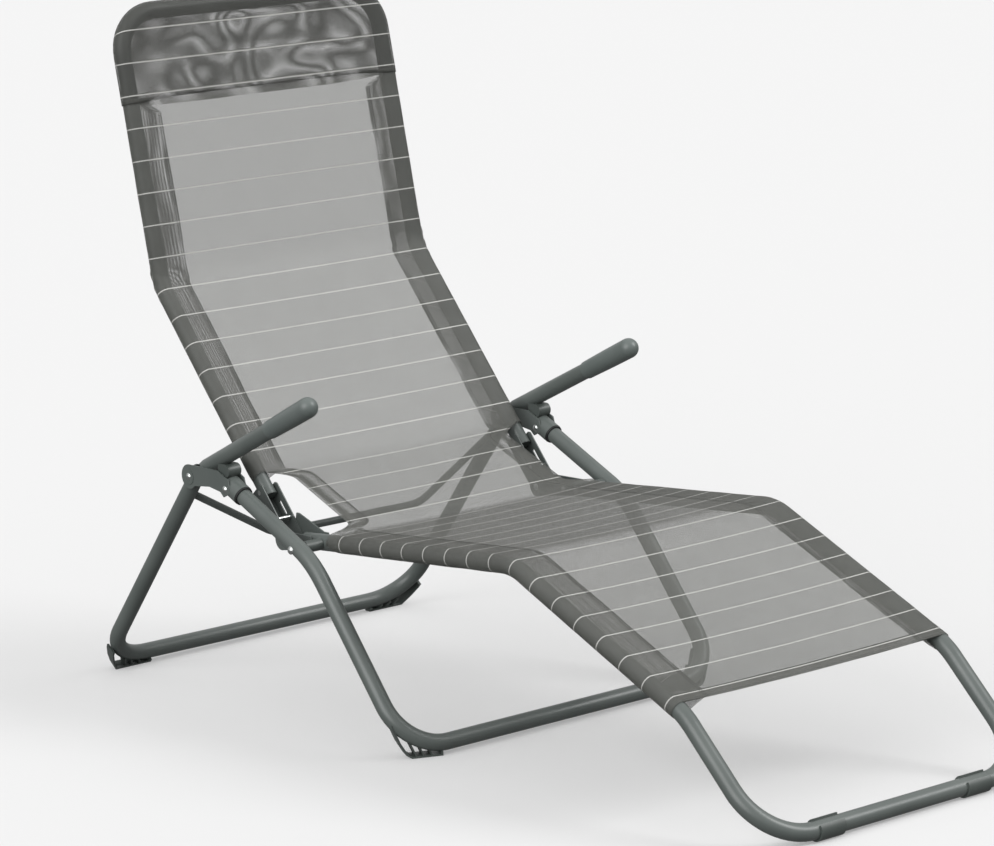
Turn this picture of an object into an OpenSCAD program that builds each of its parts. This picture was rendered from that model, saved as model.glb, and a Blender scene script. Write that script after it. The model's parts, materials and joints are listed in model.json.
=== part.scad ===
// Reclining sun lounger: a tube stand with armrests, a rocking seat frame and a folding back.
// +X points to the feet end, +Z is up, and the origin is on the ground under the middle.

/* [Tubes] */
// Outer diameter of the frame tubes
tube_d = 25; // [24:0.5:26]
// Wall of the frame tubes
tube_wall = 1.2; // [1:0.1:1.5]
// Diameter of the bowed brace rod between the rear legs
brace_d = 12; // [10:0.5:13]

/* [Widths] */
// Half the distance between the centres of the leg tubes
leg_half = 300; // [298:1:310]
// Half the distance between the centres of the tubes that carry the fabric
sling_half = 246; // [244:1:248]

/* [Stand] */
// Rear leg pivot, along the length
pivot_x = -450; // [-454:1:-446]
// Rear leg pivot, height
pivot_z = 354; // [350:1:358]
// Centre of the rear ground bar, along the length
rear_x = -733; // [-738:1:-728]
// Centre of the mid ground bar, along the length
mid_x = 37; // [32:1:42]
// Height of the ground bars' centres, which leaves room for the shoes
bar_z = 17.5; // [16:0.5:19]
// Mouth of the arm bracket's sleeve, along the length
mouth_x = -333.5; // [-336:0.5:-331]
// Mouth of the arm bracket's sleeve, height
mouth_z = 338.5; // [337:0.5:340]
// Bend of the mid legs, along the length
mid_bend_x = -167; // [-170:1:-164]
// Bend of the mid legs, height
mid_bend_z = 264; // [262:1:266]
// Hip pivot, along the length
hip_x = -203; // [-205:1:-201]
// Hip pivot, height
hip_z = 277.5; // [276:0.5:279]

/* [Seat] */
// Knee bend, along the length
knee_x = 230.5; // [226:0.5:234]
// Knee bend, height
knee_z = 311.5; // [308:0.5:315]
// Bend at the foot end of the fabric, along the length
foot_bend_x = 577.5; // [574:0.5:581]
// Bend at the foot end of the fabric, height
foot_bend_z = 162.5; // [160:0.5:165]
// Centre of the front ground bar, along the length
front_x = 731.3; // [728:0.1:734]
// Height of the front ground bar's centre
front_z = 15.5; // [15:0.1:16]

/* [Back] */
// Back hinge, along the length
hinge_x = -293; // [-294:0.5:-292]
// Lean of the lower back, from level, turning up from the foot end
low_lean = 130.8; // [130:0.1:132]
// Length of the lower back, from the hinge to its bend
low_len = 464; // [458:1:470]
// Lean of the upper back
high_lean = 101.4; // [100:0.1:103]
// Length of the upper back, from the bend to the middle of the top bar
high_len = 417; // [410:1:424]

/* [Armrest] */
// Slope of the armrest tube
arm_slope = 24.8; // [24:0.1:26]
// Length from the leg pivot to the tip of the grip
arm_len = 344; // [335:1:350]
// How far the armrest leans outwards, as a share of its length
arm_splay = 0.022; // [0:0.001:0.03]
// Diameter of the grip
grip_d = 31.4; // [30:0.2:33]

/* [Fabric] */
// Thickness of the fabric
cloth_t = 1.4; // [1:0.1:1.6]
// Depth of the head pocket below the middle of the top bar
pocket_len = 138; // [120:1:150]

/* [Hidden] */
$fn = 48;

tube_r = tube_d / 2;
fit = 0.05;             // radial clearance of a pin in its hole
gap = 0.3;              // clearance between separate pieces
hair = 0.1;             // a straight's wall stays this far inside a bend's wall
lap = 0.5;              // length of a straight inside a bend
pin_r = 4;              // pivot pins and rivets
head_r = 5.6;           // rivet heads
head_h = 2.6;
sheet_t = 2;            // sheet metal of brackets and plates
frame_grey = "#68706c";
plastic_grey = "#4d5452";
cloth_grey = "#8d8e88";

pivot = [pivot_x, 0, pivot_z];
hip = [hip_x, 0, hip_z];
knee = [knee_x, 0, knee_z];
seat_dir = (knee - hip) / norm(knee - hip);
hinge = [hinge_x, 0, hip_z + (hinge_x - hip_x) * seat_dir.z / seat_dir.x];
foot_bend = [foot_bend_x, 0, foot_bend_z];
front_bar = [front_x, 0, front_z];
mid_bend = [mid_bend_x, 0, mid_bend_z];
mid_bar = [mid_x, 0, bar_z];
rear_bar = [rear_x, 0, bar_z];
mouth = [mouth_x, 0, mouth_z];
low_dir = [cos(low_lean), 0, sin(low_lean)];
high_dir = [cos(high_lean), 0, sin(high_lean)];
back_bend = hinge + low_len * low_dir;
top_bar = back_bend + high_len * high_dir;
arm_dir = [cos(arm_slope), arm_splay, sin(arm_slope)] / norm([1, arm_splay]);
arm_from = shift(pivot + [0, 0, 3], leg_half - 0.8);
up_leg = (mouth - mid_bend) / norm(mouth - mid_bend);
leg_dir = (rear_bar - pivot) / norm(rear_bar - pivot);

mid_bend_r = 160;
mid_corner_r = 75;
rear_corner_r = 75;
knee_r = 90;
foot_bend_r = 110;
front_corner_r = 85;
back_bend_r = 90;
top_corner_r = 64;

sleeve_in = tube_r + gap;               // fabric sleeves slide over the tubes
sleeve_out = sleeve_in + cloth_t;
cheek_in = tube_r + 1.1;                // inner face of a bracket cheek, from the leg's middle
cheek_out = cheek_in + sheet_t;
sleeve_len = 52;                        // the bracket's grip on the mid leg
low_tube_from = 76;                     // lower end of the back tube, from the hinge
seat_tube_from = 42;                    // rear end of the seat tube, from the hinge
clip_r = front_z;                       // a clip's outside touches the ground
clip_y = 138;
clip_len = 44;
shoe_reach = front_x + clip_r + rear_x; // puts the origin in the middle of the length
shoe_wall = 2.6;
shoe_rib = 2.2;
mid_foot = [mid_x - 10, leg_half - 65];
rear_foot = [rear_x - 5, leg_half - 53];
rear_lean = 38;
plate_in = tube_r + 2.6;                // seat plates stand clear of the back bracket
plate_t = 2.4;

// ---- helpers -------------------------------------------------------------

function unit(v) = v / norm(v);
function across(v) = abs(v.y) > 0.9 ? [1, 0, 0] : unit(cross([0, 1, 0], v));
function shift(p, y) = [p.x, y, p.z];
function turn(a, b, c) = acos(min(1, unit(b - a) * unit(c - b)));
function trim(a, b, c, r) = r * tan(turn(a, b, c) / 2);
function cut_start(pts, radii, i) =
    i == 0 ? 0 : trim(pts[i - 1], pts[i], pts[i + 1], radii[i - 1]);
function cut_end(pts, radii, i) =
    i == len(pts) - 2 ? 0 : trim(pts[i], pts[i + 1], pts[i + 2], radii[i]);
function mirrored(pts) = [for (i = [len(pts) - 1:-1:0]) [pts[i].x, -pts[i].y, pts[i].z]];
function reversed(v) = [for (i = [len(v) - 1:-1:0]) v[i]];

module place(o, x, y, z) {
    multmatrix([
        [x.x, y.x, z.x, o.x],
        [x.y, y.y, z.y, o.y],
        [x.z, y.z, z.z, o.z],
        [0, 0, 0, 1]
    ]) children();
}

module along(a, b) {
    z = unit(b - a);
    x = across(z);
    place(a, x, cross(z, x), z) children();
}

module rod(a, b, r) {
    along(a, b) cylinder(r = r, h = norm(b - a));
}

module ring(r, wall) {
    difference() {
        circle(r);
        if (wall > 0) circle(r - wall);
    }
}

// A tube through pts with a round bend of radii[i] at each inner point.
// The straights are a hair thinner in the wall and run a little way into the bends.
module bent_tube(pts, radii, d, wall) {
    last = len(pts) - 2;
    for (i = [0:last]) {
        step = unit(pts[i + 1] - pts[i]);
        from = pts[i] + step * (cut_start(pts, radii, i) - (i == 0 ? 0 : lap));
        to = pts[i + 1] - step * (cut_end(pts, radii, i) - (i == last ? 0 : lap));
        along(from, to) linear_extrude(norm(to - from))
            ring(d / 2 - hair, wall > 0 ? wall - 2 * hair : 0);
    }
    for (i = [1:last]) {
        before = unit(pts[i] - pts[i - 1]);
        after = unit(pts[i + 1] - pts[i]);
        inward = unit(after - (after * before) * before);
        start = pts[i] - before * trim(pts[i - 1], pts[i], pts[i + 1], radii[i - 1]);
        place(start + inward * radii[i - 1], -inward, before, cross(-inward, before))
            rotate_extrude(angle = turn(pts[i - 1], pts[i], pts[i + 1]))
                translate([radii[i - 1], 0]) ring(d / 2, wall);
    }
}

// A U-shaped frame: one side's points, the same points mirrored, and the bar that joins them.
module u_frame(side, radii, d = tube_d, wall = tube_wall) {
    bent_tube(concat(side, mirrored(side)), concat(radii, reversed(radii)), d, wall);
}

module each_side() {
    children();
    mirror([0, 1, 0]) children();
}

module at_y(y, len) {
    translate([0, y, 0]) rotate([90, 0, 0]) linear_extrude(len, center = true) children();
}

module pin(p, from, to, r = pin_r) {
    translate([p.x, from, p.z]) rotate([-90, 0, 0]) cylinder(r = r, h = to - from);
}

// A domed rivet head on the plane y, rising towards way.
module head(p, y, way, r = head_r, h = head_h) {
    dome_r = (r * r + h * h) / (2 * h);
    translate([p.x, y, p.z]) rotate([way > 0 ? -90 : 90, 0, 0])
        rotate_extrude() intersection() {
            translate([0, h - dome_r]) circle(dome_r, $fn = 96);
            square([r, h]);
        }
}

module hollow_pin(p, from, to, inner, outer) {
    difference() {
        pin(p, from, to, outer);
        pin(p, from - 1, to + 1, inner);
    }
}

// ---- stand ---------------------------------------------------------------

leg_top = mouth + (sleeve_len - 2) * up_leg;
clamp = mouth + 27 * up_leg - [0, 0, 3];
nose = mouth + [-27, 0, 35];            // rounded filler between the armrest and the sleeve

module mid_frame() {
    color(frame_grey) difference() {
        u_frame([shift(leg_top, leg_half), shift(mid_bend, leg_half), shift(mid_bar, leg_half)],
                [mid_bend_r, mid_corner_r]);
        each_side() pin(hip, leg_half - 20, leg_half + 20, pin_r + fit);
        each_side() pin(clamp, leg_half - 20, leg_half + 20, pin_r + fit);
    }
}

module leg_plug() {
    p = shift(leg_top, leg_half);
    color(plastic_grey) {
        rod(p - 11 * up_leg, p + 0.01 * up_leg, tube_r - tube_wall - fit);
        rod(p, p + 1.6 * up_leg, tube_r);
    }
}

// A moulded shoe under a corner of a ground bar: an outer wall that rises to hug the bend, a
// sole, ribs and an inner end, open at the front and back. foot is where its sole starts, turn
// its heading in plan, lean its slope along the length, and wide its two sides from the foot.
module corner_shoe(bar, to, r, foot, turn, lean, wide, side, hollow, ribs) {
    path = [[bar.x, 0, bar.z], shift(bar, leg_half), shift(bar, leg_half) + 200 * to];
    color(plastic_grey) difference() {
        union() {
            shoe_prism(foot, turn, lean, wide) {
                difference() {
                    polygon(side);
                    polygon(hollow);
                }
            }
            intersection() {
                shoe_prism(foot, turn, lean, wide) polygon(side);
                translate([foot.x - 100, foot.y - 100, -10]) cube([200, 200, 10 + shoe_wall]);
            }
            for (y = ribs)
                shoe_prism(foot, turn, lean, [wide[0] + 1.5, wide[1] - 1.5]) intersection() {
                    polygon(side);
                    polygon([[y, 0], [y + shoe_rib, 0], [y + shoe_rib + 24, 54], [y + 24, 54]]);
                }
        }
        bent_tube(path, [r], tube_d + 2 * fit, 0);
        translate([foot.x - 100, foot.y - 100, -50]) cube([200, 200, 50]);
    }
}

module shoe_prism(foot, turn, lean, wide) {
    translate([foot.x, foot.y, 0]) rotate([0, 0, turn]) rotate([0, lean, 0])
        translate([wide[0], 0, 0]) rotate([90, 0, 90]) linear_extrude(wide[1] - wide[0]) children();
}

module mid_shoe() {
    corner_shoe(mid_bar, unit(mid_bend - mid_bar), mid_corner_r, mid_foot, 24, 0, [-10, 17],
        [[-4, 0], [42, 0], [50, 5], [61, 24], [69, 44], [71, 52], [57, 50], [43, 33], [24, 22],
            [-4, 15]],
        [[-1.4, 2.6], [40.8, 2.6], [47.6, 6.6], [58.3, 25], [66.3, 45], [68.2, 60], [-1.4, 60]],
        [10, 22, 33]);
}

module rear_shoe() {
    corner_shoe(rear_bar, -leg_dir, rear_corner_r, rear_foot, 0, rear_lean,
        [(rear_x - shoe_reach - rear_foot.x) / cos(rear_lean), 9],
        [[-28, 0], [30, 0], [38, 6], [50, 26], [58, 44], [60, 52], [49, 50], [37, 31], [25, 22],
            [-2, 15], [-28, 13]],
        [[-25.4, 2.6], [28.8, 2.6], [35.7, 7.6], [47.5, 27], [55.3, 45], [57, 60], [-25.4, 60]],
        [-12, 2, 14]);
}

// ---- arm brackets --------------------------------------------------------

module bracket_plate() {
    back = mouth + sleeve_len * up_leg;
    normal = [-up_leg.z, 0, up_leg.x] * -1;
    high = back + cheek_out * normal;
    low = mouth + 24 * up_leg - (cheek_out - 0.6) * normal;
    front = mouth + 24 * up_leg + (cheek_out - 0.6) * normal;
    translate([pivot.x, pivot.z]) circle(18.5);
    polygon([
        [pivot.x, pivot.z + 18.5], [high.x - 14, pivot.z + 19.5], [high.x, high.z - 1],
        [front.x, front.z], [mouth.x + 20 * up_leg.x + 8, mouth.z + 20 * up_leg.z - 4],
        [low.x, low.z], [low.x - 8, low.z + 7], [low.x - 36, low.z + 11],
        [pivot.x + 10, pivot.z - 13], [pivot.x, pivot.z - 18.5]
    ]);
}

// Half of a bracket, on the side of the leg's middle plane that way points to.
module bracket_half(way) {
    m = shift(mouth, leg_half);
    b = shift(mouth + sleeve_len * up_leg, leg_half);
    color(frame_grey) difference() {
        union() {
            at_xz_plane(leg_half + way * (cheek_in + sheet_t / 2), sheet_t) bracket_plate();
            intersection() {
                along(m, b) linear_extrude(sleeve_len) ring(cheek_out, cheek_out - 14.1);
                translate([mouth.x - 150, way > 0 ? leg_half + fit : leg_half - 50 - fit, 250])
                    cube([250, 50, 200]);
            }
            head_boss(pivot, way);
        }
        pin(pivot, leg_half - 30, leg_half + 30, pin_r + fit);
        pin(clamp, leg_half - 30, leg_half + 30, pin_r + fit);
        rod(m + 30 * (m - b) / norm(m - b), b + 30 * (b - m) / norm(b - m), 14.1);
    }
}

module at_xz_plane(y, thick) {
    translate([0, y + thick / 2, 0]) rotate([90, 0, 0]) linear_extrude(thick) children();
}

module head_boss(p, way) {
    y0 = leg_half + way * cheek_out;
    hollow_pin(p, min(y0, y0 + way * 0.8), max(y0, y0 + way * 0.8), pin_r + 1, 12);
}

module collar_liner() {
    m = shift(mouth, leg_half);
    color("#1c1e1e") difference() {
        union() {
            rod(m + 40 * up_leg, m - 2.5 * up_leg, 14.05);
            rod(m - fit * up_leg, m - 3 * up_leg, 14.9);
        }
        rod(m + 50 * up_leg, m - 10 * up_leg, tube_r + fit);
        pin(clamp, leg_half - 30, leg_half + 30, pin_r + fit);
    }
}

module arm_saddle() {
    m = shift(mouth, leg_half);
    a = arm_from;
    color(plastic_grey) difference() {
        at_xz_plane(leg_half, 23) {
            translate([nose.x, nose.z]) circle(10);
            polygon([
                [nose.x, nose.z + 10], [nose.x - 18, nose.z + 10],
                [nose.x - 18, nose.z], [nose.x, nose.z - 10]
            ]);
        }
        rod(m + 60 * up_leg, m - 60 * up_leg, cheek_out + fit);
        rod(a, a + 200 * arm_dir, tube_r + fit);
    }
}

module arm_tube() {
    a = arm_from;
    color(frame_grey) along(a + 30 * arm_dir, a + (arm_len - 24) * arm_dir)
        linear_extrude(arm_len - 54) ring(tube_r, tube_wall);
}

// A hand grip: a bell-mouthed start, a slightly swelling barrel and a round end.
module arm_grip() {
    grip_r = grip_d / 2;
    long = 122;
    start = arm_len - long;
    a = arm_from + start * arm_dir;
    color(plastic_grey) along(a, a + arm_dir) rotate_extrude() difference() {
        union() {
            polygon([
                [0, 0], [tube_r + 1.6, 0], [grip_r - 1.2, 20], [grip_r - 0.4, 60],
                [grip_r, long - grip_r], [0, long - grip_r]
            ]);
            intersection() {
                translate([0, long - grip_r]) circle(grip_r, $fn = 96);
                translate([0, long - grip_r - 1]) square([grip_r, grip_r + 1]);
            }
        }
        translate([-1, -1]) square([tube_r + fit + 1, arm_len - 23.5 - start + 1]);
    }
}

module clamp_rivets() {
    color("#b9bdbb") each_side() {
        pin(clamp, leg_half - cheek_out, leg_half + cheek_out);
        head(clamp, leg_half + cheek_out, 1);
        head(clamp, leg_half - cheek_out, -1);
    }
}

module leg_pivot_rivets() {
    boss = cheek_out + 0.8;
    color("#b9bdbb") each_side() {
        pin(pivot, leg_half - boss, leg_half + boss);
        head(pivot, leg_half + boss, 1);
        head(pivot, leg_half - boss, -1);
    }
}

// ---- hip pivots ----------------------------------------------------------

module hip_pins() {
    inside = sling_half - tube_r - gap;
    outside = leg_half + tube_r + 0.1;
    color("#b9bdbb") each_side() {
        pin(hip, inside, outside);
        head(hip, outside, 1, 6.4, 3.6);
        head(hip, inside, -1, 6.4, 2.4);
    }
}

module hip_spacers() {
    color(plastic_grey) each_side()
        hollow_pin(hip, sling_half + tube_r + gap, leg_half - tube_r - 0.05, pin_r + fit, 9);
}

// ---- rear legs -----------------------------------------------------------

module rear_frame() {
    top = pivot - 11 * leg_dir;
    color(frame_grey) difference() {
        u_frame([shift(top, leg_half), shift(rear_bar, leg_half)], [rear_corner_r]);
        each_side() pin(pivot, leg_half - 20, leg_half + 20, 6 + fit);
    }
}

module rear_bushes() {
    color("#1c1e1e") each_side()
        hollow_pin(pivot, leg_half - cheek_in + gap, leg_half + cheek_in - gap, pin_r + fit, 6);
}

module rear_brace() {
    weld = pivot + 46 * leg_dir;
    low_z = weld.z - 86;
    end = [weld.x, leg_half - tube_r + 3, weld.z + 1];
    color(frame_grey) difference() {
        bent_tube([end, [weld.x, 142, low_z], [weld.x, -142, low_z], [end.x, -end.y, end.z]],
                  [70, 70], brace_d, 0);
        each_side() rod(shift(pivot, leg_half), shift(rear_bar, leg_half), tube_r + fit);
    }
}

// ---- seat and leg rest ---------------------------------------------------

seat_start = hinge + seat_tube_from * seat_dir;
seat_rivet = hinge + 66 * seat_dir;

module seat_frame() {
    y = sling_half;
    color(frame_grey) difference() {
        u_frame([shift(seat_start, y), shift(knee, y), shift(foot_bend, y), shift(front_bar, y)],
                [knee_r, foot_bend_r, front_corner_r]);
        each_side() pin(hip, y - 20, y + 20, pin_r + fit);
        each_side() pin(seat_rivet, y - 20, y + 20, pin_r - 1 + fit);
    }
}

module seat_end_plugs() {
    p = shift(seat_start, sling_half);
    color(plastic_grey) each_side() {
        rod(p + 9 * seat_dir, p - 0.01 * seat_dir, tube_r - tube_wall - fit);
        rod(p, p - 1.6 * seat_dir, tube_r);
    }
}

// A pair of plates that carries the back hinge on the seat tube; the inner one is a gusset.
module plate_outline(gusset) {
    seat_n = [-seat_dir.z, 0, seat_dir.x];
    end = hinge + 74 * seat_dir;
    translate([hinge.x, hinge.z]) circle(15);
    polygon([
        [hinge.x, hinge.z] + 15 * [seat_n.x, seat_n.z],
        [end.x, end.z] + 11 * [seat_n.x, seat_n.z],
        [end.x, end.z] - 9 * [seat_n.x, seat_n.z],
        [hinge.x, hinge.z] - 15 * [seat_n.x, seat_n.z]
    ]);
    if (gusset) {
        polygon([
            [hinge.x - 4, hinge.z + 36], [hinge.x + 2, hinge.z + 36],
            [end.x, end.z] - 12 * [seat_dir.x, seat_dir.z] + 12 * [seat_n.x, seat_n.z],
            [hinge.x + 16, hinge.z + 4],
            [hinge.x - 10, hinge.z + 10]
        ]);
    }
}

module seat_plates() {
    mid_t = plate_in + plate_t / 2;
    color(frame_grey) {
        difference() {
            at_xz_plane(sling_half + mid_t, plate_t) plate_outline(false);
            hinge_holes();
        }
        difference() {
            at_xz_plane(sling_half - mid_t, plate_t) plate_outline(true);
            hinge_holes();
        }
    }
}

module hinge_holes() {
    pin(hinge, sling_half - 30, sling_half + 30, pin_r + fit);
    pin(seat_rivet, sling_half - 30, sling_half + 30, pin_r - 1 + fit);
}

// Rivets with shoulder washers that hold the plates clear of the tube.
module seat_rivets() {
    out = plate_in + plate_t;
    color("#b9bdbb") each_side() {
        pin(seat_rivet, sling_half - out, sling_half + out, pin_r - 1);
        head(seat_rivet, sling_half + out, 1, 4.6, 2);
        head(seat_rivet, sling_half - out, -1, 4.6, 2);
        for (way = [-1, 1]) {
            a = sling_half + way * (tube_r + fit);
            b = sling_half + way * (plate_in - fit);
            hollow_pin(seat_rivet, min(a, b), max(a, b), pin_r - 1, 5);
        }
    }
}

module hinge_pins() {
    out = plate_in + plate_t + gap;
    color("#b9bdbb") each_side() {
        pin(hinge, sling_half - out, sling_half + out);
        head(hinge, sling_half + out, 1, 5.6, 2);
        head(hinge, sling_half - out, -1, 5.6, 2);
    }
}

// A snap-on clip foot: most of a ring, open towards the front and top.
module front_clip() {
    color(plastic_grey) difference() {
        translate([front_x, clip_y - clip_len / 2, front_z]) rotate([-90, 0, 0])
            linear_extrude(clip_len) difference() {
                ring(clip_r, clip_r - tube_r - fit);
                rotate(-68) polygon([[0, 0], [30, -17], [30, 17]]);
            }
    }
}

// ---- back ----------------------------------------------------------------

low_front = [sin(low_lean), 0, -cos(low_lean)];
back_start = hinge + low_tube_from * low_dir;
back_rivet = hinge + 84 * low_dir;
stop_rivet = hinge + 32 * low_dir + 7 * low_front;

module back_frame() {
    y = sling_half;
    color(frame_grey) difference() {
        u_frame([shift(back_start, y), shift(back_bend, y), shift(top_bar, y)],
                [back_bend_r, top_corner_r]);
        each_side() pin(back_rivet, y - 20, y + 20, pin_r - 1 + fit);
    }
}

module back_end_plugs() {
    p = shift(back_start, sling_half);
    color(plastic_grey) each_side() {
        rod(p + 4 * low_dir, p - 0.01 * low_dir, tube_r - tube_wall - fit);
        rod(p, p - 1.6 * low_dir, tube_r);
    }
}

// Cheek of the back bracket in its own plane: x along the back, y towards the front.
module cheek_outline() {
    circle(13.5);
    polygon([[0, -13.5], [44, -14.5], [92, -14.5], [92, 10], [88, 14], [44, 14], [0, 13.5]]);
}

module back_bracket() {
    inner = tube_r + gap;
    y = sling_half;
    color(frame_grey) difference() {
        place(shift(hinge, y), low_dir, low_front, [0, 1, 0]) {
            for (way = [-1, 1])
                translate([0, 0, way * (inner + 0.9) - 0.9]) linear_extrude(1.8) cheek_outline();
            translate([31, -14.2, -inner]) cube([60.5, 1.5, 2 * inner]);
        }
        pin(hinge, y - 30, y + 30, pin_r + fit);
        pin(back_rivet, y - 30, y + 30, pin_r - 1 + fit);
        pin(stop_rivet, y - 30, y + 30, pin_r - 1 + fit);
        place(shift(hinge, y), low_dir, low_front, [0, 1, 0])
            translate([52, 1, -40]) linear_extrude(80) slot(24, 4.4);
    }
}

module slot(long, wide) {
    square([long - wide, wide], center = true);
    for (way = [-1, 1])
        translate([way * (long - wide) / 2, 0]) circle(wide / 2);
}

module back_rivets() {
    out = tube_r + gap + 1.8;
    color("#b9bdbb") each_side() for (p = [back_rivet, stop_rivet]) {
        pin(p, sling_half - out, sling_half + out, pin_r - 1);
        head(p, sling_half + out, 1, 3.8, 0.5);
        head(p, sling_half - out, -1, 3.8, 0.5);
    }
}

// ---- fabric --------------------------------------------------------------

// A panel of fabric with a sleeve round each side tube, from a to b; front is the lying side.
module panel(a, b, front) {
    way = unit(b - a);
    place(a, [0, 1, 0], front, way) linear_extrude(norm(b - a)) panel_section(hair);
}

module panel_section(thinner) {
    difference() {
        union() {
            translate([-sling_half, sleeve_in + thinner])
                square([2 * sling_half, cloth_t - 2 * thinner]);
            for (way = [-1, 1])
                translate([way * sling_half, 0]) circle(sleeve_out - thinner);
        }
        for (way = [-1, 1])
            translate([way * sling_half, 0]) circle(sleeve_in + thinner);
    }
}

// The same section carried round a bend of the side tubes.
module panel_bend(before, p, after, r, front) {
    d1 = unit(p - before);
    d2 = unit(after - p);
    inward = unit(d2 - (d2 * d1) * d1);
    start = p - d1 * trim(before, p, after, r);
    way = inward * front > 0 ? -1 : 1;
    place(start + inward * r, -inward, d1, cross(-inward, d1))
        rotate_extrude(angle = turn(before, p, after))
            translate([r, 0]) mirror([way > 0 ? 0 : 1, 0]) rotate(-90) panel_section(0);
}

function up_of(d) = unit([-d.z, 0, d.x]);
function front_of(d) = unit([d.z, 0, -d.x]);

module seat_sling() {
    t = trim(hip, knee, foot_bend, knee_r);
    color(cloth_grey) {
        panel(hip + 20 * seat_dir, knee - (t - lap) * seat_dir, up_of(seat_dir));
        panel_bend(hip, knee, foot_bend, knee_r, up_of(seat_dir));
    }
}

module leg_sling() {
    way = unit(foot_bend - knee);
    t = trim(hip, knee, foot_bend, knee_r);
    u = trim(knee, foot_bend, front_bar, foot_bend_r);
    color(cloth_grey)
        panel(knee + (t + gap) * way, foot_bend - (u - 4) * way, up_of(way));
}

module hip_sling() {
    high = hinge + 110 * low_dir + (sleeve_in + 0.7) * low_front;
    low = hip + 14 * seat_dir + (sleeve_in + 0.7) * up_of(seat_dir);
    way = unit(low - high);
    from = high + 6 * way;
    to = low - 3 * way;
    color(cloth_grey) place(from, [0, 1, 0], -up_of(way), way)
        translate([-206, -cloth_t / 2, 0]) cube([412, cloth_t, norm(to - from)]);
}

module low_back_sling() {
    t = trim(hinge, back_bend, top_bar, back_bend_r);
    color(cloth_grey) {
        panel(hinge + 118 * low_dir, back_bend - (t - lap) * low_dir, low_front);
        panel_bend(hinge, back_bend, top_bar, back_bend_r, low_front);
    }
}

module high_back_sling() {
    t = trim(hinge, back_bend, top_bar, back_bend_r);
    color(cloth_grey)
        panel(back_bend + (t + gap) * high_dir, top_bar - (pocket_len + gap) * high_dir,
              front_of(high_dir));
}

// The hood that slips over the top of the frame: a sleeve round the tube, a front and a back.
module head_pocket() {
    side = [shift(top_bar - pocket_len * high_dir, sling_half), shift(top_bar, sling_half)];
    front = front_of(high_dir);
    color(cloth_grey) difference() {
        union() {
            u_frame(side, [top_corner_r], 2 * sleeve_out, 0);
            for (way = [-1, 1])
                place(shift(top_bar, 0), [0, 1, 0], high_dir, cross([0, 1, 0], high_dir))
                    translate([0, 0, way * (sleeve_in + cloth_t / 2) - cloth_t / 2 + 0.2])
                        linear_extrude(cloth_t - 0.4) hood_outline();
        }
        u_frame([side[0] - 5 * high_dir, side[1]], [top_corner_r], 2 * sleeve_in, 0);
    }
}

module hood_outline() {
    translate([-sling_half, -pocket_len]) square([2 * sling_half, pocket_len - top_corner_r]);
    translate([top_corner_r - sling_half, -top_corner_r])
        square([2 * (sling_half - top_corner_r), top_corner_r]);
    for (way = [-1, 1])
        translate([way * (sling_half - top_corner_r), -top_corner_r]) circle(top_corner_r);
}

// ---- nodes ---------------------------------------------------------------

mid_frame();
mid_shoe();  // mid_shoe_left
mirror([0, 1, 0]) mid_shoe();  // mid_shoe_right
leg_plug();  // leg_plug_left
mirror([0, 1, 0]) leg_plug();  // leg_plug_right
bracket_half(1);  // bracket_outer_left
mirror([0, 1, 0]) bracket_half(1);  // bracket_outer_right
bracket_half(-1);  // bracket_inner_left
mirror([0, 1, 0]) bracket_half(-1);  // bracket_inner_right
collar_liner();  // collar_liner_left
mirror([0, 1, 0]) collar_liner();  // collar_liner_right
arm_saddle();  // arm_saddle_left
mirror([0, 1, 0]) arm_saddle();  // arm_saddle_right
arm_tube();  // arm_tube_left
mirror([0, 1, 0]) arm_tube();  // arm_tube_right
arm_grip();  // arm_grip_left
mirror([0, 1, 0]) arm_grip();  // arm_grip_right
clamp_rivets();
leg_pivot_rivets();
hip_pins();
hip_spacers();
rear_frame();
rear_brace();
rear_bushes();
rear_shoe();  // rear_shoe_left
mirror([0, 1, 0]) rear_shoe();  // rear_shoe_right
seat_frame();
seat_plates();  // seat_plates_left
mirror([0, 1, 0]) seat_plates();  // seat_plates_right
seat_rivets();
seat_end_plugs();
front_clip();  // front_clip_left
mirror([0, 1, 0]) front_clip();  // front_clip_right
seat_sling();
leg_sling();
hip_sling();
back_frame();
back_bracket();  // back_bracket_left
mirror([0, 1, 0]) back_bracket();  // back_bracket_right
back_rivets();
back_end_plugs();
hinge_pins();
low_back_sling();
high_back_sling();
head_pocket();
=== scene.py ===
import json
import math

import bmesh
import bpy
import numpy as np
from mathutils import Matrix, Vector, noise


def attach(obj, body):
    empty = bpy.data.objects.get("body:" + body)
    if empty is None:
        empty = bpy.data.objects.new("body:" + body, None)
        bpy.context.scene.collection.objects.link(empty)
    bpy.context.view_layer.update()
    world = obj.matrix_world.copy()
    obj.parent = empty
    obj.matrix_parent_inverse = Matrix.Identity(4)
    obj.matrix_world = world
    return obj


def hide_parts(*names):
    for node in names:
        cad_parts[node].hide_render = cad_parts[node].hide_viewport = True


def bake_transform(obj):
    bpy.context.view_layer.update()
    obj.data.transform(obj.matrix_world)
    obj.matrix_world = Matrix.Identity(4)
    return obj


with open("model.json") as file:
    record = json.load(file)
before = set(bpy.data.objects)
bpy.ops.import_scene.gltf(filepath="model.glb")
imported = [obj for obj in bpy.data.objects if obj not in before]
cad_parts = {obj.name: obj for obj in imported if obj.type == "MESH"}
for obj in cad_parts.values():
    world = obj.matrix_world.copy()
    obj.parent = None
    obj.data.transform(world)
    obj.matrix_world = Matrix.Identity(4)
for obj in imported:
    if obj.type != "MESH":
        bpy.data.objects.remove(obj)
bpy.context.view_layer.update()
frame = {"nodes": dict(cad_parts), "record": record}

# ---------------------------------------------------------------- the object's side view, in metres
HINGE = np.array([-0.293, 0.27044])
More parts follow.
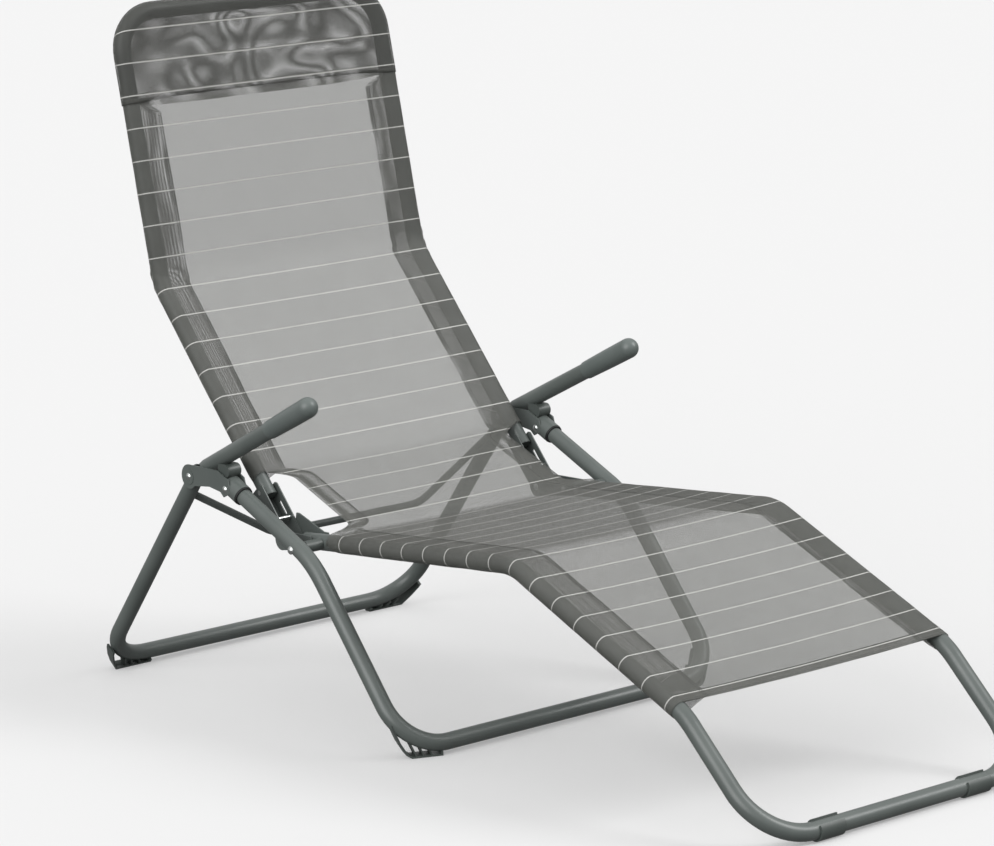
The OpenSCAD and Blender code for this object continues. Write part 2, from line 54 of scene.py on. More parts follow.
HIP = np.array([-0.203, 0.2775])
KNEE = np.array([0.2305, 0.3115])
FOOT_BEND = np.array([0.5775, 0.1625])



def direction(deg):
    return np.array([math.cos(math.radians(deg)), math.sin(math.radians(deg))])


LOW, HIGH = direction(130.8), direction(101.4)     # the back's tubes, below and above its bend
LOW_RUN, HIGH_RUN = 0.464, 0.417
BACK_BEND = HINGE + LOW_RUN * LOW
TOP = BACK_BEND + HIGH_RUN * HIGH
SEAT_DIR = (KNEE - HIP) / np.linalg.norm(KNEE - HIP)
HALF = 0.246                  # side tubes' centres
TUBE = 0.0125
OVER = TUBE + 0.0010          # from a tube's centre to the fabric's outer face
PITCH = 0.04976               # between stripes
CORNER = 0.064                # the head end's corner
CLOTH_T = 0.00008             # the sheet's thickness: its two faces close the weave at a low angle
STEP = 0.005                  # between rows of the fabric's mesh
WELD = 0.00002                # points nearer than this become one
STRIPE_DOWN = 0.0770          # the first stripe, below the head end's tube
HOOD_DEEP = 0.139             # the hood's edge, below the head end's tube
HOOD_LINE = 0.137             # where that edge crosses the sling
TUCK = 0.006                  # the sling's end inside the hood
HEAD_START = 0.022            # where the fabric's line starts, below the head end's tube
FOOT_GAP = 0.010              # from the fabric's end to the foot bend
OFF_BACK, OFF_SEAT = 0.112, 0.118      # from the hinge to the fabric's corners at the hip
OPEN_BACK, OPEN_SEAT = 0.110, 0.112    # from the hinge to the sleeves' ends
BENDS = [0.0765, 0.05, 0.05, 0.1035]   # radii at the back's bend, the hip's two corners, the knee
HEM_OUT, HEM_IN = 0.2065, 0.168        # the open hip's edge and its hem's inner edge
HEM_SLEEVE = 0.203            # the hem's inner edge where a sleeve begins
HEM_T = 0.0008                # a hem's second layer
HEM_UNDER = 0.0014            # from the fabric's face to a hem's second layer
FLAP_UNDER = 0.0022           # from the fabric's face to a flap's sewn edge
FLAP_PAST = 0.009             # the flap's cloth past its sewn edge
SEAM_UPPER = {1: 0.200, -1: 0.211}     # the flap's inner edge from the middle, above the bend
SEAM_LOWER = {1: 0.196, -1: 0.213}     # and below it
SEAM_SEAT, SEAM_HOOD = 0.204, 0.231    # and on the seat and under the hood's edge
FLARE_BACK, FLARE_SEAT = 0.030, 0.022  # the open hip's edge widens over these lengths
SAG_BACK, SAG_SEAT = 0.0030, 0.0045
THREAD_UP = 0.0001            # the threads lie this far over the fabric


def unit(v):
    return v / np.linalg.norm(v)


def left_of(d):
    return np.array([-d[1], d[0]])


def meet(p, d, q, e):
    """Where the line from p along d crosses the line from q along e."""
    m = np.array([d, -e]).T
    return p + d * np.linalg.solve(m, q - p)[0]


# ---------------------------------------------------------------- the fabric's run from head to foot
def rounded(points, radii, step=STEP):
    """Evenly spaced points and directions along a line whose inner corners are rounded."""
    runs, at = [], points[0]
    for k, r in enumerate(radii):
        a, b, c = points[k], points[k + 1], points[k + 2]
        d, e = unit(b - a), unit(c - b)
        turn = math.atan2(d[0] * e[1] - d[1] * e[0], d @ e)
        cut = r * abs(math.tan(turn / 2))
        runs.append(("line", at, b - d * cut, d))
        runs.append(("arc", b - d * cut, d, turn, r))
        at = b + e * cut
    runs.append(("line", at, points[-1], unit(points[-1] - points[-2])))
    out, dirs, lengths, s = [], [], [], 0.0
    for run in runs:
        if run[0] == "line":
            long = float(np.linalg.norm(run[2] - run[1]))
            n = max(1, round(long / step))
            for i in range(n):
                out.append(run[1] + run[3] * long * i / n)
                dirs.append(run[3])
                lengths.append(s + long * i / n)
        else:
            _, start, d, turn, r = run
            long = abs(turn) * r
            n = max(3, round(long / step))
            side = left_of(d) * math.copysign(1, turn)
            for i in range(n):
                a = turn * i / n
                c, sn = math.cos(a), math.sin(a)
                out.append(start + side * r - r * (side * c - d * abs(sn)))
                dirs.append(np.array([d[0] * c - d[1] * sn, d[0] * sn + d[1] * c]))
                lengths.append(s + long * i / n)
        s += long
    out.append(points[-1])
    dirs.append(runs[-1][3])
    lengths.append(s)
    return np.array(out), np.array(dirs), np.array(lengths)


def front_line():
    low_down, high_down = -LOW, -HIGH
    leg = unit(FOOT_BEND - KNEE)

    def o(p, d):
        return p + left_of(d) * OVER

    bend = meet(o(BACK_BEND, high_down), high_down, o(BACK_BEND, low_down), low_down)
    knee = meet(o(KNEE, SEAT_DIR), SEAT_DIR, o(KNEE, leg), leg)
    lumbar = o(HINGE + OFF_BACK * LOW, low_down)
    rump = o(HINGE + OFF_SEAT * SEAT_DIR, SEAT_DIR)
    start = o(TOP - HEAD_START * HIGH, high_down)
    end = o(FOOT_BEND - leg * FOOT_GAP, leg)
    return [start, bend, lumbar, rump, knee, end]


LINE = front_line()
PATH, DIRS, ALONG = rounded(LINE, BENDS)


def along_of(point):
    return float(ALONG[np.argmin(np.linalg.norm(PATH - point, axis=1))])


S_LOW_END = along_of(HINGE + OPEN_BACK * LOW + left_of(-LOW) * OVER)
S_SEAT_FROM = along_of(HINGE + OPEN_SEAT * SEAT_DIR + left_of(SEAT_DIR) * OVER)
S_POCKET = along_of(TOP - HOOD_LINE * HIGH + left_of(-HIGH) * OVER)
S_END = ALONG[-1]
S_BEND = along_of(LINE[1])
STRIPE_AT = along_of(TOP - STRIPE_DOWN * HIGH + left_of(-HIGH) * OVER)


def smooth(a, b, x):
    t = min(1.0, max(0.0, (x - a) / (b - a)))
    return t * t * (3 - 2 * t)


def wave(x, y, z=0.0):
    return noise.noise(Vector((x, y, z)))


def station(s):
    """Point, direction and normal of the fabric's front face at s."""
    i = int(np.clip(np.searchsorted(ALONG, s) - 1, 0, len(ALONG) - 2))
    t = (s - ALONG[i]) / max(1e-9, ALONG[i + 1] - ALONG[i])
    p = PATH[i] * (1 - t) + PATH[i + 1] * t
    d = unit(DIRS[i] * (1 - t) + DIRS[i + 1] * t)
    return p, d, left_of(d)


def seam_y(s, side):
    """How far from the middle the flap's inner edge is sewn, on each side."""
    if s < S_BEND:
        y = SEAM_UPPER[side]
    elif s < S_LOW_END + 0.05:
        y = SEAM_LOWER[side]
    else:
        y = SEAM_SEAT
    y += 0.0016 * wave(s * 9, side * 3.0, 5.0)
    below = s - S_POCKET
    if -0.004 < below < 0.020:
        y += (SEAM_HOOD - y) * (1 - smooth(0.002, 0.020, below))
    return y


def hip_flare(s):
    """From 0 along the open hip to 1 where the sleeves round the tubes begin."""
    near_back = (s - S_LOW_END) / FLARE_BACK
    near_seat = (S_SEAT_FROM - s) / FLARE_SEAT
    return min(1.0, max(0.0, 1 - min(near_back, near_seat))) ** 2.2


def hip_edge(s):
    """Half width of the fabric where it crosses the open hip."""
    return HEM_OUT + (HALF - HEM_OUT) * hip_flare(s)


def hem_edge(s):
    """How far from the middle the open hip's hem begins."""
    return HEM_IN + (HEM_SLEEVE - HEM_IN) * hip_flare(s)


def sag(s, y):
    free = max(0.0, 1 - (y / HALF) ** 2)
    depth = SAG_SEAT if s > S_SEAT_FROM else SAG_BACK
    ripple = 0.0006 * wave(s * 7, y * 9, 1.0)
    return free * (depth + ripple)


CENTRE = [math.copysign(abs(t) ** 0.92, t) for t in np.linspace(-1, 1, 45)]
ROUND = np.linspace(90, -123, 15)[1:]      # degrees round the tube, from its top
FLAP = np.linspace(0, 1, 7)[1:]


def sleeve_points(s, side):
    """(y, n, u) from the tube's top round under it and back up to the seam."""
    r = OVER
    out = []
    pucker = 0.0
    for centre, wide in ((S_BEND + 0.004, 0.020), (S_BEND - 0.016, 0.010)):
        pucker += math.exp(-((s - centre) / wide) ** 2)
    for deg in ROUND:
        a = math.radians(deg)
        lump = 0.0011 * pucker * (0.5 + 0.5 * math.sin(s * 900 + deg * 0.05 + side))
        lump += 0.00035 * (wave(s * 26, deg * 0.02, side * 4.0) + 0.6)
        rr = r + max(0.0, lump)
        out.append((HALF + rr * math.cos(a), rr * math.sin(a), HALF + r * math.radians(90 - deg)))
    u = out[-1][2]
    y0, n0 = out[-1][0], out[-1][1]
    y1, n1 = seam_y(s, side), OVER - FLAP_UNDER
    for t in FLAP:
        fold = 0.0014 * math.sin(math.pi * t)
        fold *= wave(t * 3.1 + side, s * 5.5, 2.0) + 0.7 * wave(t * 7.0, s * 14, side * 7.0)
        y, n = y0 + (y1 - y0) * t, n0 + (n1 - n0) * t
        out.append((y, n + fold, u + math.hypot(y1 - y0, n1 - n0) * t))
    out.append((y1 - FLAP_PAST, OVER - FLAP_UNDER, out[-1][2] + FLAP_PAST))
    return out


def place(s, y, n):
    p, d, normal = station(s)
    q = p + normal * (n - OVER)
    return (q[0], y, q[1])


def grid(name, rows, uvs):
    """A mesh from rows of equally many points, with the fabric's own lengths as its UVs."""
    me = bpy.data.meshes.new(name)
    wide = len(rows[0])
    verts = [p for row in rows for p in row]
    faces = []
    for i in range(len(rows) - 1):
        for j in range(wide - 1):
            a = i * wide + j
            faces.append((a, a + wide, a + wide + 1, a + 1))
    me.from_pydata(verts, [], faces)
    layer = me.uv_layers.new(name="cloth")
    flat = [q for row in uvs for q in row]
    data = np.array([flat[v] for f in faces for v in f], np.float32)
    layer.data.foreach_set("uv", data.ravel())
    me.shade_smooth()
    o = bpy.data.objects.new(name, me)
    bpy.context.scene.collection.objects.link(o)
    return o


def sling_rows(s_from, s_to):
    n = max(2, round((s_to - s_from) / STEP))
    rows, uvs = [], []
    for s in np.linspace(s_from, s_to, n + 1):
        section = [(-y, q, -u) for y, q, u in reversed(sleeve_points(s, -1))]
        section += [(HALF * t, OVER - sag(s, HALF * t), HALF * t) for t in CENTRE]
        section += sleeve_points(s, 1)
        rows.append([place(s, y, q) for y, q, u in section])
        uvs.append([(u, s - STRIPE_AT) for y, q, u in section])
    return rows, uvs


def hip_rows():
    rows, uvs = [], []
    n = max(2, round((S_SEAT_FROM - S_LOW_END) / STEP))
    for s in np.linspace(S_LOW_END, S_SEAT_FROM, n + 1):
        edge = hip_edge(s)
        curl = 0.0015 * smooth(0.0, 0.03, min(s - S_LOW_END, S_SEAT_FROM - s))
        row = []
        for t in CENTRE:
            y = edge * t
            row.append((y, OVER - sag(s, y) - curl * abs(t) ** 8))
        rows.append([place(s, y, q) for y, q in row])
        uvs.append([(y, s - STRIPE_AT) for y, q in row])
    return rows, uvs


def join(objects, name):
    bpy.ops.object.select_all(action="DESELECT")
    for o in objects:
        o.select_set(True)
    bpy.context.view_layer.objects.active = objects[0]
    bpy.ops.object.join()
    o = bpy.context.view_layer.objects.active
    o.name = name
    o.data.name = name
    return o


def weld(o, distance):
    bm = bmesh.new()
    bm.from_mesh(o.data)
    bmesh.ops.remove_doubles(bm, verts=bm.verts, dist=distance)
    bm.to_mesh(o.data)
    bm.free()


def thicken(o, thickness):
    m = o.modifiers.new("thickness", "SOLIDIFY")
    m.thickness = thickness
    m.offset = -1
    m.use_rim = True
    m.use_even_offset = False


back = grid("part_a", *sling_rows(S_POCKET - TUCK, S_LOW_END))
hip = grid("part_b", *hip_rows())
seat = grid("part_c", *sling_rows(S_SEAT_FROM, S_END))
sling = join([back, hip, seat], "sling")
weld(sling, WELD)
thicken(sling, CLOTH_T)


# ---------------------------------------------------------------- hems, as second layers under the sling
def strip(name, s_from, s_to, rows_n, y_from, y_to, columns):
    """A flat second layer under the sling; its two edges are functions of s."""
    rows, uvs = [], []
    for s in np.linspace(s_from, s_to, rows_n):
        ys = np.linspace(y_from(s), y_to(s), columns)
        rows.append([place(s, y, OVER - sag(s, y) - HEM_UNDER) for y in ys])
        uvs.append([(y, s - STRIPE_AT) for y in ys])
    return grid(name, rows, uvs)


foot_hem = strip("foot_hem", S_END - 0.019, S_END - 0.0008, 5,
                 lambda s: 0.001 - HALF, lambda s: HALF - 0.001, 45)
hip_hem = join([strip("hem_a", S_LOW_END + 0.001, S_SEAT_FROM - 0.001, 60,
                      hem_edge, lambda s: hip_edge(s) - 0.0005, 8),
                strip("hem_b", S_LOW_END + 0.001, S_SEAT_FROM - 0.001, 60,
                      lambda s: 0.0005 - hip_edge(s), lambda s: -hem_edge(s), 8)],
               "hip_hems")
thicken(foot_hem, HEM_T)
thicken(hip_hem, HEM_T)


# ---------------------------------------------------------------- the hood over the head end
def hood():
    """A closed pocket: a front, a back and a rim that wraps round the frame's tube."""
    r = OVER + 0.0013         # the hood lies over the sling's layer
    deep = HOOD_DEEP
    cols = []
    for y in np.linspace(0, HALF - CORNER, 26):
        cols.append((y, 0.0))
    for a in np.linspace(0, 90, 13)[1:]:
        cols.append((HALF - CORNER + CORNER * math.sin(math.radians(a)),
                     -CORNER + CORNER * math.cos(math.radians(a))))
    cols = [(-y, w) for y, w in reversed(cols[1:])] + cols
    rows_n = 24

    def at(y, w, n):
        q = TOP + HIGH * w + left_of(-HIGH) * n
        return (q[0], y, q[1])

    def puff(y, w, top):
        inside = max(0.0, 1 - (y / HALF) ** 2) * min(1.0, max(0.0, (top - w) / 0.02))
        return inside * (0.0016 + 0.0022 * wave(y * 16, w * 22, 8.0))

    parts = []
    for face in (1, -1):
        rows, uvs = [], []
        for k in range(rows_n + 1):
            row, uv = [], []
            for y, top in cols:
                low = -deep + face * 0.005 * (1 - min(1.0, (abs(y) / 0.235) ** 6))
                w = low + (top - low) * k / rows_n
                n = face * (r - puff(y, w, top) * (1.0 if face > 0 else 0.6))
                row.append(at(y, w, n))
                turned = 0 if face > 0 else math.pi * r
                uv.append((y, -STRIPE_DOWN - w - turned))
            rows.append(row)
            uvs.append(uv)
        if face < 0:
            rows, uvs = [list(reversed(q)) for q in rows], [list(reversed(q)) for q in uvs]
        rows.reverse()
        uvs.reverse()
        parts.append(grid(f"hood_{face}", rows, uvs))
    edge = [(-HALF, w, (-1.0, 0.0)) for w in np.linspace(-deep, -CORNER, rows_n + 1)[:-1]]
    for y, w in cols:
        if abs(y) <= HALF - CORNER:
            out = (0.0, 1.0)
        else:
            cy = math.copysign(HALF - CORNER, y)
            out = ((y - cy) / CORNER, (w + CORNER) / CORNER)
        edge.append((y, w, out))
    edge += [(HALF, w, (1.0, 0.0)) for w in np.linspace(-CORNER, -deep, rows_n + 1)[1:]]
    rows, uvs = [], []
    for y, w, (oy, ow) in edge:
        row, uv = [], []
        for a in np.linspace(0, 180, 15):
            c, sn = math.cos(math.radians(a)), math.sin(math.radians(a))
            lump = 0.0004 * (wave(y * 30, w * 30, a * 0.01) + 0.5) * sn
            rr = r + lump
            row.append(at(y + oy * rr * sn, w + ow * rr * sn, rr * c))
            arc = math.radians(a) * r
            uv.append((y + oy * arc, -STRIPE_DOWN - w - ow * arc))
        rows.append(row)
        uvs.append(uv)
    rim = grid("hood_rim", rows, uvs)
    return join(parts + [rim], "hood")


hood_piece = hood()
weld(hood_piece, WELD)
thicken(hood_piece, CLOTH_T)


# ---------------------------------------------------------------- stitching
def stitches(name, runs, long=0.0032, gap=0.0014, wide=0.0007):
    """Short raised threads along runs of (point, normal) pairs."""
    verts, faces = [], []
    for run in runs:
        pts = [Vector(p) for p, _ in run]
        nrm = [Vector(n) for _, n in run]
        total = [0.0]
        for a, b in zip(pts, pts[1:]):
            total.append(total[-1] + (b - a).length)

        def on(d):
            i = min(len(pts) - 2, max(0, int(np.searchsorted(total, d)) - 1))
            t = (d - total[i]) / max(1e-9, total[i + 1] - total[i])
            return pts[i].lerp(pts[i + 1], t), nrm[i].lerp(nrm[i + 1], t).normalized()

        d = 0.0
        while d + long < total[-1]:
            p, n = on(d)
            q, _ = on(d + long)
            m = (p + q) / 2 + n * wide * 0.75
            side = n.cross(q - p).normalized() * wide / 2
            b = len(verts)
            for c in (p, q):
                for sgn in (-1, 1):
                    verts.append(c + side * sgn * 0.6)
            for sgn in (-1, 1):
                verts.append(m + (p - m) * 0.35 + side * sgn + n * 0.0001)
            for sgn in (-1, 1):
                verts.append(m + (q - m) * 0.35 + side * sgn + n * 0.0001)
            faces += [(b, b + 1, b + 5, b + 4), (b + 4, b + 5, b + 7, b + 6),
                      (b + 6, b + 7, b + 3, b + 2), (b, b + 4, b + 6, b + 2),
                      (b + 1, b + 3, b + 7, b + 5)]
            d += long + gap
    me = bpy.data.meshes.new(name)
    me.from_pydata([tuple(v) for v in verts], [], faces)
    me.shade_smooth()
    o = bpy.data.objects.new(name, me)
    bpy.context.scene.collection.objects.link(o)
    return o


def on_top(s, y, side=1):
    """A seam's point just over the fabric, and the normal there."""
    _, _, n = station(s)
    return place(s, side * y, OVER - sag(s, y) + THREAD_UP), (n[0], 0, n[1])


def seam_run(s_from, s_to, side, inset):
    run = []
    for s in np.linspace(s_from, s_to, max(2, round((s_to - s_from) / STEP))):
        run.append(on_top(s, side * (seam_y(s, side) - inset)))
    return run


seams = []
for side in (1, -1):
    for inset in (0.0025, 0.0065):
        seams.append(seam_run(S_POCKET + 0.022, S_LOW_END - 0.002, side, inset))
        seams.append(seam_run(S_SEAT_FROM + 0.002, S_END - 0.002, side, inset))
    for edge, inset in ((hem_edge, -0.004), (hip_edge, 0.004)):
        span = np.linspace(S_LOW_END + 0.004, S_SEAT_FROM - 0.004, 60)
        seams.append([on_top(s, edge(s) - inset, side) for s in span])
for inset in (0.0165, 0.0030):
    seams.append([on_top(S_END - inset, y) for y in np.linspace(-HALF + 0.002, HALF - 0.002, 60)])
thread = stitches("stitching", seams)


# ---------------------------------------------------------------- materials
def material(name):
    m = bpy.data.materials.new(name)
    m.use_nodes = True
    nt = m.node_tree
    nt.nodes.clear()
    out = nt.nodes.new("ShaderNodeOutputMaterial")
    b = nt.nodes.new("ShaderNodeBsdfPrincipled")
    nt.links.new(b.outputs[0], out.inputs[0])
    return m, nt, b


def math_node(nt, op, a, b=None):
    n = nt.nodes.new("ShaderNodeMath")
    n.operation = op
    for i, v in enumerate((a, b)):
        if v is None:
            continue
        if isinstance(v, (int, float)):
            n.inputs[i].default_value = v
        else:
            nt.links.new(v, n.inputs[i])
    return n.outputs[0]


def noise_tex(nt, scale, detail=3.0, coord="Object", stretch=None):
    c = nt.nodes.new("ShaderNodeTexCoord").outputs[coord]
    if stretch:
        mp = nt.nodes.new("ShaderNodeMapping")
        mp.inputs["Scale"].default_value = stretch
        nt.links.new(c, mp.inputs[0])
        c = mp.outputs[0]
    t = nt.nodes.new("ShaderNodeTexNoise")
    t.inputs["Scale"].default_value = scale
    t.inputs["Detail"].default_value = detail
    nt.links.new(c, t.inputs["Vector"])
    return t.outputs["Fac"]


def ramp(nt, fac, stops):
    r = nt.nodes.new("ShaderNodeValToRGB")
    nt.links.new(fac, r.inputs[0])
    while len(r.color_ramp.elements) > 1:
        r.color_ramp.elements.remove(r.color_ramp.elements[-1])
    r.color_ramp.elements[0].position = stops[0][0]
    r.color_ramp.elements[0].color = (*stops[0][1], 1)
    for at, c in stops[1:]:
        e = r.color_ramp.elements.new(at)
        e.color = (*c, 1)
    return r.outputs[0]


def bump(nt, b, height, strength, distance):
    n = nt.nodes.new("ShaderNodeBump")
    n.inputs["Strength"].default_value = strength
    n.inputs["Distance"].default_value = distance
    nt.links.new(height, n.inputs["Height"])
    nt.links.new(n.outputs[0], b.inputs["Normal"])


def coated(name, dark, light, rough, speck=900.0, strength=0.12, metal=0.0):
    """A powder coat or moulded surface: slight shade change, orange-peel bump, varied gloss."""
    m, nt, b = material(name)
    b.inputs["Metallic"].default_value = metal
    f = noise_tex(nt, 14.0, 4.0)
    nt.links.new(ramp(nt, f, [(0.3, dark), (0.7, light)]), b.inputs["Base Color"])
    g = noise_tex(nt, 60.0, 3.0)
    r = nt.nodes.new("ShaderNodeMapRange")
    r.inputs["To Min"].default_value = rough - 0.05
    r.inputs["To Max"].default_value = rough + 0.07
    nt.links.new(g, r.inputs["Value"])
    nt.links.new(r.outputs[0], b.inputs["Roughness"])
    bump(nt, b, noise_tex(nt, speck, 2.0), strength, 0.0002)
    return m


YARN = (0.150, 0.153, 0.141)
STRIPE = (0.68, 0.68, 0.65)
STRIPE_HALF = 0.0009
MESH = 0.00105               # one hole to the next
FLAP_U = HALF + OVER * math.radians(150)   # past this the fabric is the turned-under layer


def fabric(name, drift, opening, shade):
    """Open weave from the cloth's own lengths: yarns both ways, holes between, pale stripes.

    drift is how far the yarns wander, opening a hole's width as a share of the mesh's pitch,
    and shade how light the yarn is painted; the hood's lower value is painted shade on the sling's own
    fabric."""
    m, nt, b = material(name)
    out = next(n for n in nt.nodes if n.type == "OUTPUT_MATERIAL")
    uv = nt.nodes.new("ShaderNodeUVMap")
    uv.uv_map = "cloth"
    sep = nt.nodes.new("ShaderNodeSeparateXYZ")
    nt.links.new(uv.outputs[0], sep.inputs[0])
    u, v = sep.outputs[0], sep.outputs[1]
    under = math_node(nt, "GREATER_THAN", math_node(nt, "ABSOLUTE", u), FLAP_U)
    # the yarns wander a little, so two layers never line up for long
    wander_u = noise_tex(nt, 9.0, 1.0, coord="UV")
    wander_v = noise_tex(nt, 7.0, 1.0, coord="UV", stretch=(1.0, 1.6, 1.0))
    uu = math_node(nt, "ADD", u, math_node(nt, "MULTIPLY", wander_u, drift))
    vv = math_node(nt, "ADD", v, math_node(nt, "MULTIPLY", wander_v, drift * 0.8))
    cu = math_node(nt, "PINGPONG", math_node(nt, "DIVIDE", uu, MESH), 0.5)
    cv = math_node(nt, "PINGPONG", math_node(nt, "DIVIDE", vv, MESH), 0.5)
    limit = 0.5 - opening / 2
    hole = math_node(nt, "MULTIPLY", math_node(nt, "GREATER_THAN", cu, limit),
                     math_node(nt, "GREATER_THAN", cv, limit))
    sv = math_node(nt, "PINGPONG", math_node(nt, "DIVIDE", v, PITCH), 0.5)
    stripe = math_node(nt, "LESS_THAN", sv, STRIPE_HALF / PITCH)
    threads = math_node(nt, "GREATER_THAN", math_node(
        nt, "PINGPONG", math_node(nt, "DIVIDE", u, MESH / 2), 0.5), 0.06)
    stripe = math_node(nt, "MULTIPLY", stripe, threads)
    cover = math_node(nt, "MAXIMUM", math_node(nt, "SUBTRACT", 1.0, hole), stripe)
    tone = noise_tex(nt, 25.0, 3.0)
    yarn = ramp(nt, tone, [(0.3, tuple(c * shade * 0.93 for c in YARN)),
                           (0.7, tuple(c * shade * 1.07 for c in YARN))])
    # the turned-under layer is painted darker, most of all on the back, for the shade it lies in
    down = nt.nodes.new("ShaderNodeMapRange")
    for key, value in (("From Min", S_BEND - STRIPE_AT), ("From Max", S_SEAT_FROM - STRIPE_AT),
                       ("To Min", 0.30), ("To Max", 0.85)):
        down.inputs[key].default_value = value
    nt.links.new(v, down.inputs["Value"])
    dim = nt.nodes.new("ShaderNodeMix")
    dim.data_type, dim.blend_type = "RGBA", "MULTIPLY"
    nt.links.new(under, dim.inputs[0])
    nt.links.new(yarn, dim.inputs[6])
    nt.links.new(down.outputs[0], dim.inputs[7])
    mix = nt.nodes.new("ShaderNodeMix")
    mix.data_type = "RGBA"
    nt.links.new(stripe, mix.inputs[0])
    nt.links.new(dim.outputs[2], mix.inputs[6])
    mix.inputs[7].default_value = (*STRIPE, 1)
    nt.links.new(mix.outputs[2], b.inputs["Base Color"])
    b.inputs["Roughness"].default_value = 0.55
    b.inputs["Specular IOR Level"].default_value = 0.35
    hump = math_node(nt, "MAXIMUM", math_node(nt, "SUBTRACT", 0.5, cu),
                     math_node(nt, "SUBTRACT", 0.5, cv))
    hump = math_node(nt, "ADD", hump, math_node(nt, "MULTIPLY", stripe, 0.4))
    bump(nt, b, hump, 0.3, 0.0002)
    glow = nt.nodes.new("ShaderNodeBsdfTranslucent")
    glow.inputs["Color"].default_value = (0.34, 0.34, 0.325, 1)
    body = nt.nodes.new("ShaderNodeMixShader")
    body.inputs[0].default_value = 0.28
    nt.links.new(b.outputs[0], body.inputs[1])
    nt.links.new(glow.outputs[0], body.inputs[2])
    clear = nt.nodes.new("ShaderNodeBsdfTransparent")
    top = nt.nodes.new("ShaderNodeMixShader")
    nt.links.new(cover, top.inputs[0])
    nt.links.new(clear.outputs[0], top.inputs[1])
    nt.links.new(body.outputs[0], top.inputs[2])
    nt.links.new(top.outputs[0], out.inputs[0])
    return m


cloth = fabric("mesh_fabric", 0.0012, 0.58, 1.05)
# the hood is the sling's fabric; its darker yarn (shade 0.72 against 1.05) is painted shade
pocket_cloth = fabric("pocket_fabric", 0.0032, 0.60, 0.72)
paint = coated("powder_coat", (0.090, 0.104, 0.098), (0.108, 0.123, 0.116), 0.34)
plastic = coated("dark_plastic", (0.055, 0.066, 0.061), (0.074, 0.086, 0.080), 0.42, 500.0, 0.2)
grip = coated("grip_plastic", (0.105, 0.124, 0.118), (0.128, 0.147, 0.140), 0.38, 700.0, 0.25)
liner = coated("black_liner", (0.008, 0.009, 0.009), (0.014, 0.015, 0.015), 0.55, 400.0, 0.2)
steel = coated("rivet_steel", (0.48, 0.50, 0.49), (0.60, 0.62, 0.61), 0.28, metal=1.0)
thread_mat = coated("thread", (0.075, 0.078, 0.072), (0.10, 0.104, 0.096), 0.7, 1500.0, 0.3)

for o, look in ((sling, cloth), (foot_hem, cloth), (hip_hem, cloth), (hood_piece, pocket_cloth)):
    o.data.materials.clear()
    o.data.materials.append(look)
thread.data.materials.append(thread_mat)

by_slot = {"frame_paint": paint, "dark_plastic": plastic, "grip_plastic": grip,
           "liner_rubber": liner, "rivet_steel": steel}
slot_of = {p["node"]: p["material_slot"] for p in frame["record"]["subparts"]}
for name, o in frame["nodes"].items():
    look = by_slot.get(slot_of[name])
    if look:
        if not o.material_slots:
            o.data.materials.append(look)
        for place_slot in o.material_slots:
            place_slot.material = look

# ---------------------------------------------------------------- bodies
for o in (sling, hip_hem, thread):
    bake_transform(o)
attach(foot_hem, "seat")
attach(hood_piece, "back")
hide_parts("seat_sling", "leg_sling", "hip_sling", "low_back_sling", "high_back_sling")
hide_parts("head_pocket")

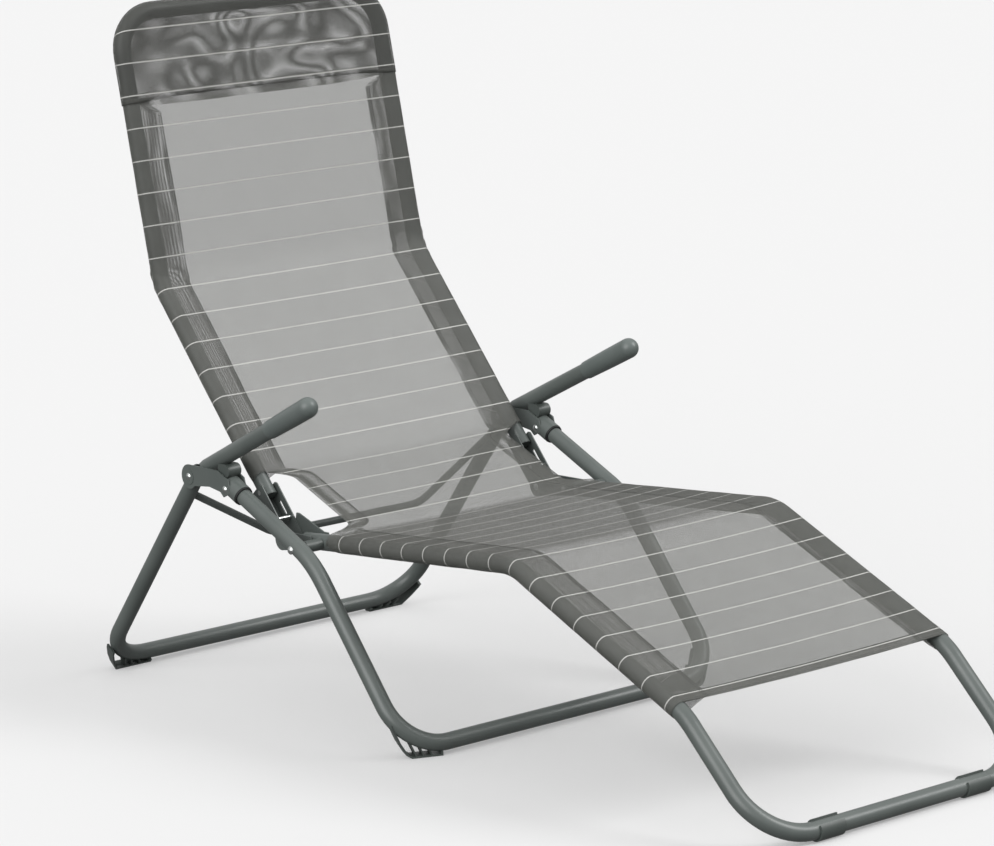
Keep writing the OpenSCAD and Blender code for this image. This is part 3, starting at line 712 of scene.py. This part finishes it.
# ---------------------------------------------------------------- camera, floor and light
az, el, roll = math.radians(51.209), math.radians(11.087), math.radians(-2.284)
fwd = Vector((-math.sin(az) * math.cos(el), math.cos(az) * math.cos(el), -math.sin(el)))
right = Vector((math.cos(az), math.sin(az), 0))
up = right.cross(fwd)
r2 = right * math.cos(roll) + up * math.sin(roll)
u2 = up * math.cos(roll) - right * math.sin(roll)
cam = bpy.data.cameras.new("camera")
cam.sensor_width = 36
cam.lens = 145.01
cam_o = bpy.data.objects.new("camera", cam)
bpy.context.scene.collection.objects.link(cam_o)
spot = (4.4296, -3.6404, 1.5705)
cam_o.matrix_world = Matrix((
    (r2.x, u2.x, -fwd.x, spot[0]), (r2.y, u2.y, -fwd.y, spot[1]),
    (r2.z, u2.z, -fwd.z, spot[2]), (0, 0, 0, 1)))
bpy.context.scene.camera = cam_o
cam.clip_end = 200

me = bpy.data.meshes.new("floor")
w = 60.0                      # half the floor's side
me.from_pydata([(-w, -w, 0), (w, -w, 0), (w, w, 0), (-w, w, 0)], [], [(0, 1, 2, 3)])
floor = bpy.data.objects.new("floor", me)
bpy.context.scene.collection.objects.link(floor)
fm, _, fb = material("floor")
fb.inputs["Base Color"].default_value = (0.45, 0.45, 0.45, 1)
fb.inputs["Emission Color"].default_value = (1, 1, 1, 1)
fb.inputs["Emission Strength"].default_value = 0.285
fb.inputs["Roughness"].default_value = 0.9
fb.inputs["Specular IOR Level"].default_value = 0.1
me.materials.append(fm)
floor.visible_diffuse = False       # the floor throws no light up, so the shade stays deep
floor.visible_glossy = False

world = bpy.data.worlds.new("world")
bpy.context.scene.world = world
world.use_nodes = True
wnt = world.node_tree
bg = wnt.nodes["Background"]
sky = wnt.nodes.new("ShaderNodeSeparateXYZ")
wnt.links.new(wnt.nodes.new("ShaderNodeTexCoord").outputs["Generated"], sky.inputs[0])
dome = ramp(wnt, sky.outputs[2], [(0.0, (0.24,) * 3), (0.02, (0.58,) * 3), (0.35, (0.75,) * 3),
                                  (1.0, (1.22,) * 3)])
wnt.links.new(dome, bg.inputs[0])
bg.inputs[1].default_value = 0.80


def sun(name, towards, power, spread):
    d = bpy.data.lights.new(name, "SUN")
    d.energy = power
    d.angle = math.radians(spread)
    o = bpy.data.objects.new(name, d)
    bpy.context.scene.collection.objects.link(o)
    o.rotation_mode = "QUATERNION"
    o.rotation_quaternion = Vector(towards).to_track_quat("-Z", "Y")


sun("key", (-0.62, -0.58, -0.72), 1.55, 28)
sun("fill", (-0.22, 0.86, -0.46), 2.0, 50)

view = bpy.context.scene.view_settings
view.view_transform = "Standard"
view.look = "None"
bpy.context.scene.cycles.transparent_max_bounces = 16
